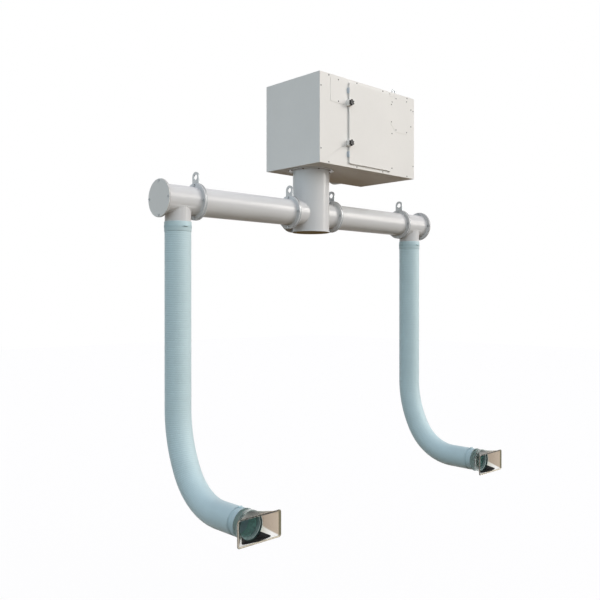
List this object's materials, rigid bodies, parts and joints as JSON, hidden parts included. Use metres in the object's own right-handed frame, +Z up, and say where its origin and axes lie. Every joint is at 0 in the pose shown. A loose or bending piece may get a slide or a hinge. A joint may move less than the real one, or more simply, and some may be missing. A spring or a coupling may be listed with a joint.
{
  "type": "ceiling mounted fume extractor",
  "caption": "Ceiling-hung fume extractor: a filter and fan cabinet over a column with side ducts that end in hanging ribbed hoses with rectangular suction hoods.",
  "frame": {"origin": "centre of the hole in the roof eye that stands over the column", "axes": "+X along the ducts, to the fan's end of the cabinet; +Y to the back, out of the exhaust spigot; +Z up"},
  "size_m": [2.583, 1.2044, 2.8948],
  "materials": {
    "cabinet_paint": "satin off-white paint",
    "duct_paint": "glossy light grey paint",
    "steel": "zinc-plated",
    "dark_steel": "satin dark grey",
    "knob_black": "moulded",
    "rubber": "matte",
    "hose": "ribbed, slightly glossy",
    "filter": "pleated glass-fibre media",
    "hood_clear": "clear, tinted brown"
  },
  "bodies": {
    "cabinet": {"base_panel": "cabinet_paint", "roof_panel": "cabinet_paint", "left_panel": "cabinet_paint", "right_panel": "cabinet_paint", "back_panel": "cabinet_paint", "front_panel": "cabinet_paint", "panel_screws": "dark_steel", "electrical_cover": "cabinet_paint", "terminal_box": "dark_steel", "fan_access_cover": "cabinet_paint", "hinge_brackets": "cabinet_paint", "clamp_sockets": "steel", "edge_guides": "cabinet_paint", "roof_eyes": "steel", "filter_track_lower": "steel", "filter_track_upper": "steel", "pre_filter": "filter", "main_filter": "filter", "fan_bulkhead": "steel", "inlet_cone": "dark_steel", "fan_motor": "dark_steel", "motor_bracket": "steel", "exhaust_spigot": "duct_paint", "column": "duct_paint", "column_base_cap": "duct_paint", "column_bolts": "steel", "rear_blanking_disc": "duct_paint", "duct_left": "duct_paint", "duct_right": "duct_paint", "hanger_inner_left": "steel", "hanger_inner_right": "steel", "hanger_outer_left": "steel", "hanger_outer_right": "steel", "flange_bolts": "steel", "tee_left": "duct_paint", "tee_right": "duct_paint", "end_cap_left": "duct_paint", "end_cap_right": "duct_paint"},
    "door": {"door_panel": "cabinet_paint", "door_seal": "rubber"},
    "knob_upper": {"star_knob_upper": "knob_black"},
    "knob_lower": {"star_knob_lower": "knob_black"},
    "fan_rotor": {"impeller": "steel"},
    "hose_left": {"upper_cuff_left": "hose", "upper_clip_left": "steel", "hose_drop_left": "hose"},
    "nozzle_left": {"hose_bend_left": "hose", "lower_cuff_left": "hose", "lower_clip_left": "steel"},
    "suction_hood_left": {"hood_left": "hood_clear"},
    "hose_right": {"upper_cuff_right": "hose", "upper_clip_right": "steel", "hose_drop_right": "hose"},
    "nozzle_right": {"hose_bend_right": "hose", "lower_cuff_right": "hose", "lower_clip_right": "steel"},
    "suction_hood_right": {"hood_right": "hood_clear"}
  },
  "joints": [
    {"name": "door_hinge", "type": "hinge", "parent": "cabinet", "child": "door", "pos_m": [0.5387, -0.2792, -0.3335], "axis": [0, 0, 1], "range_deg": [0, 110]},
    {"name": "knob_upper_turn", "type": "hinge", "parent": "door", "child": "knob_upper", "pos_m": [0.0905, -0.3, -0.198], "axis": [0, -1, 0], "range_deg": [-540, 0]},
    {"name": "knob_lower_turn", "type": "hinge", "parent": "door", "child": "knob_lower", "pos_m": [0.0905, -0.3, -0.478], "axis": [0, -1, 0], "range_deg": [-540, 0]},
    {"name": "fan_spin", "type": "hinge", "parent": "cabinet", "child": "fan_rotor", "pos_m": [0.65, 0, -0.3345], "axis": [1, 0, 0], "continuous": true},
    {"name": "hose_swing_left", "type": "hinge", "parent": "cabinet", "child": "hose_left", "pos_m": [-1.138, 0, -1.1], "axis": [0, 0, 1], "range_deg": [-90, 90]},
    {"name": "hose_lift_left", "type": "hinge", "parent": "hose_left", "child": "nozzle_left", "pos_m": [-1.138, 0, -2.787], "axis": [-1, 0, 0], "range_deg": [-20, 25], "deforming": ["hose_bend_left"]},
    {"name": "hood_turn_left", "type": "hinge", "parent": "nozzle_left", "child": "suction_hood_left", "pos_m": [-1.138, -0.63, -2.787], "axis": [0, -1, 0], "range_deg": [-90, 90]},
    {"name": "hose_swing_right", "type": "hinge", "parent": "cabinet", "child": "hose_right", "pos_m": [1.138, 0, -1.1], "axis": [0, 0, 1], "range_deg": [-90, 90]},
    {"name": "hose_lift_right", "type": "hinge", "parent": "hose_right", "child": "nozzle_right", "pos_m": [1.138, 0, -2.787], "axis": [-1, 0, 0], "range_deg": [-20, 25], "deforming": ["hose_bend_right"]},
    {"name": "hood_turn_right", "type": "hinge", "parent": "nozzle_right", "child": "suction_hood_right", "pos_m": [1.138, -0.63, -2.787], "axis": [0, -1, 0], "range_deg": [-90, 90]}
  ]
}
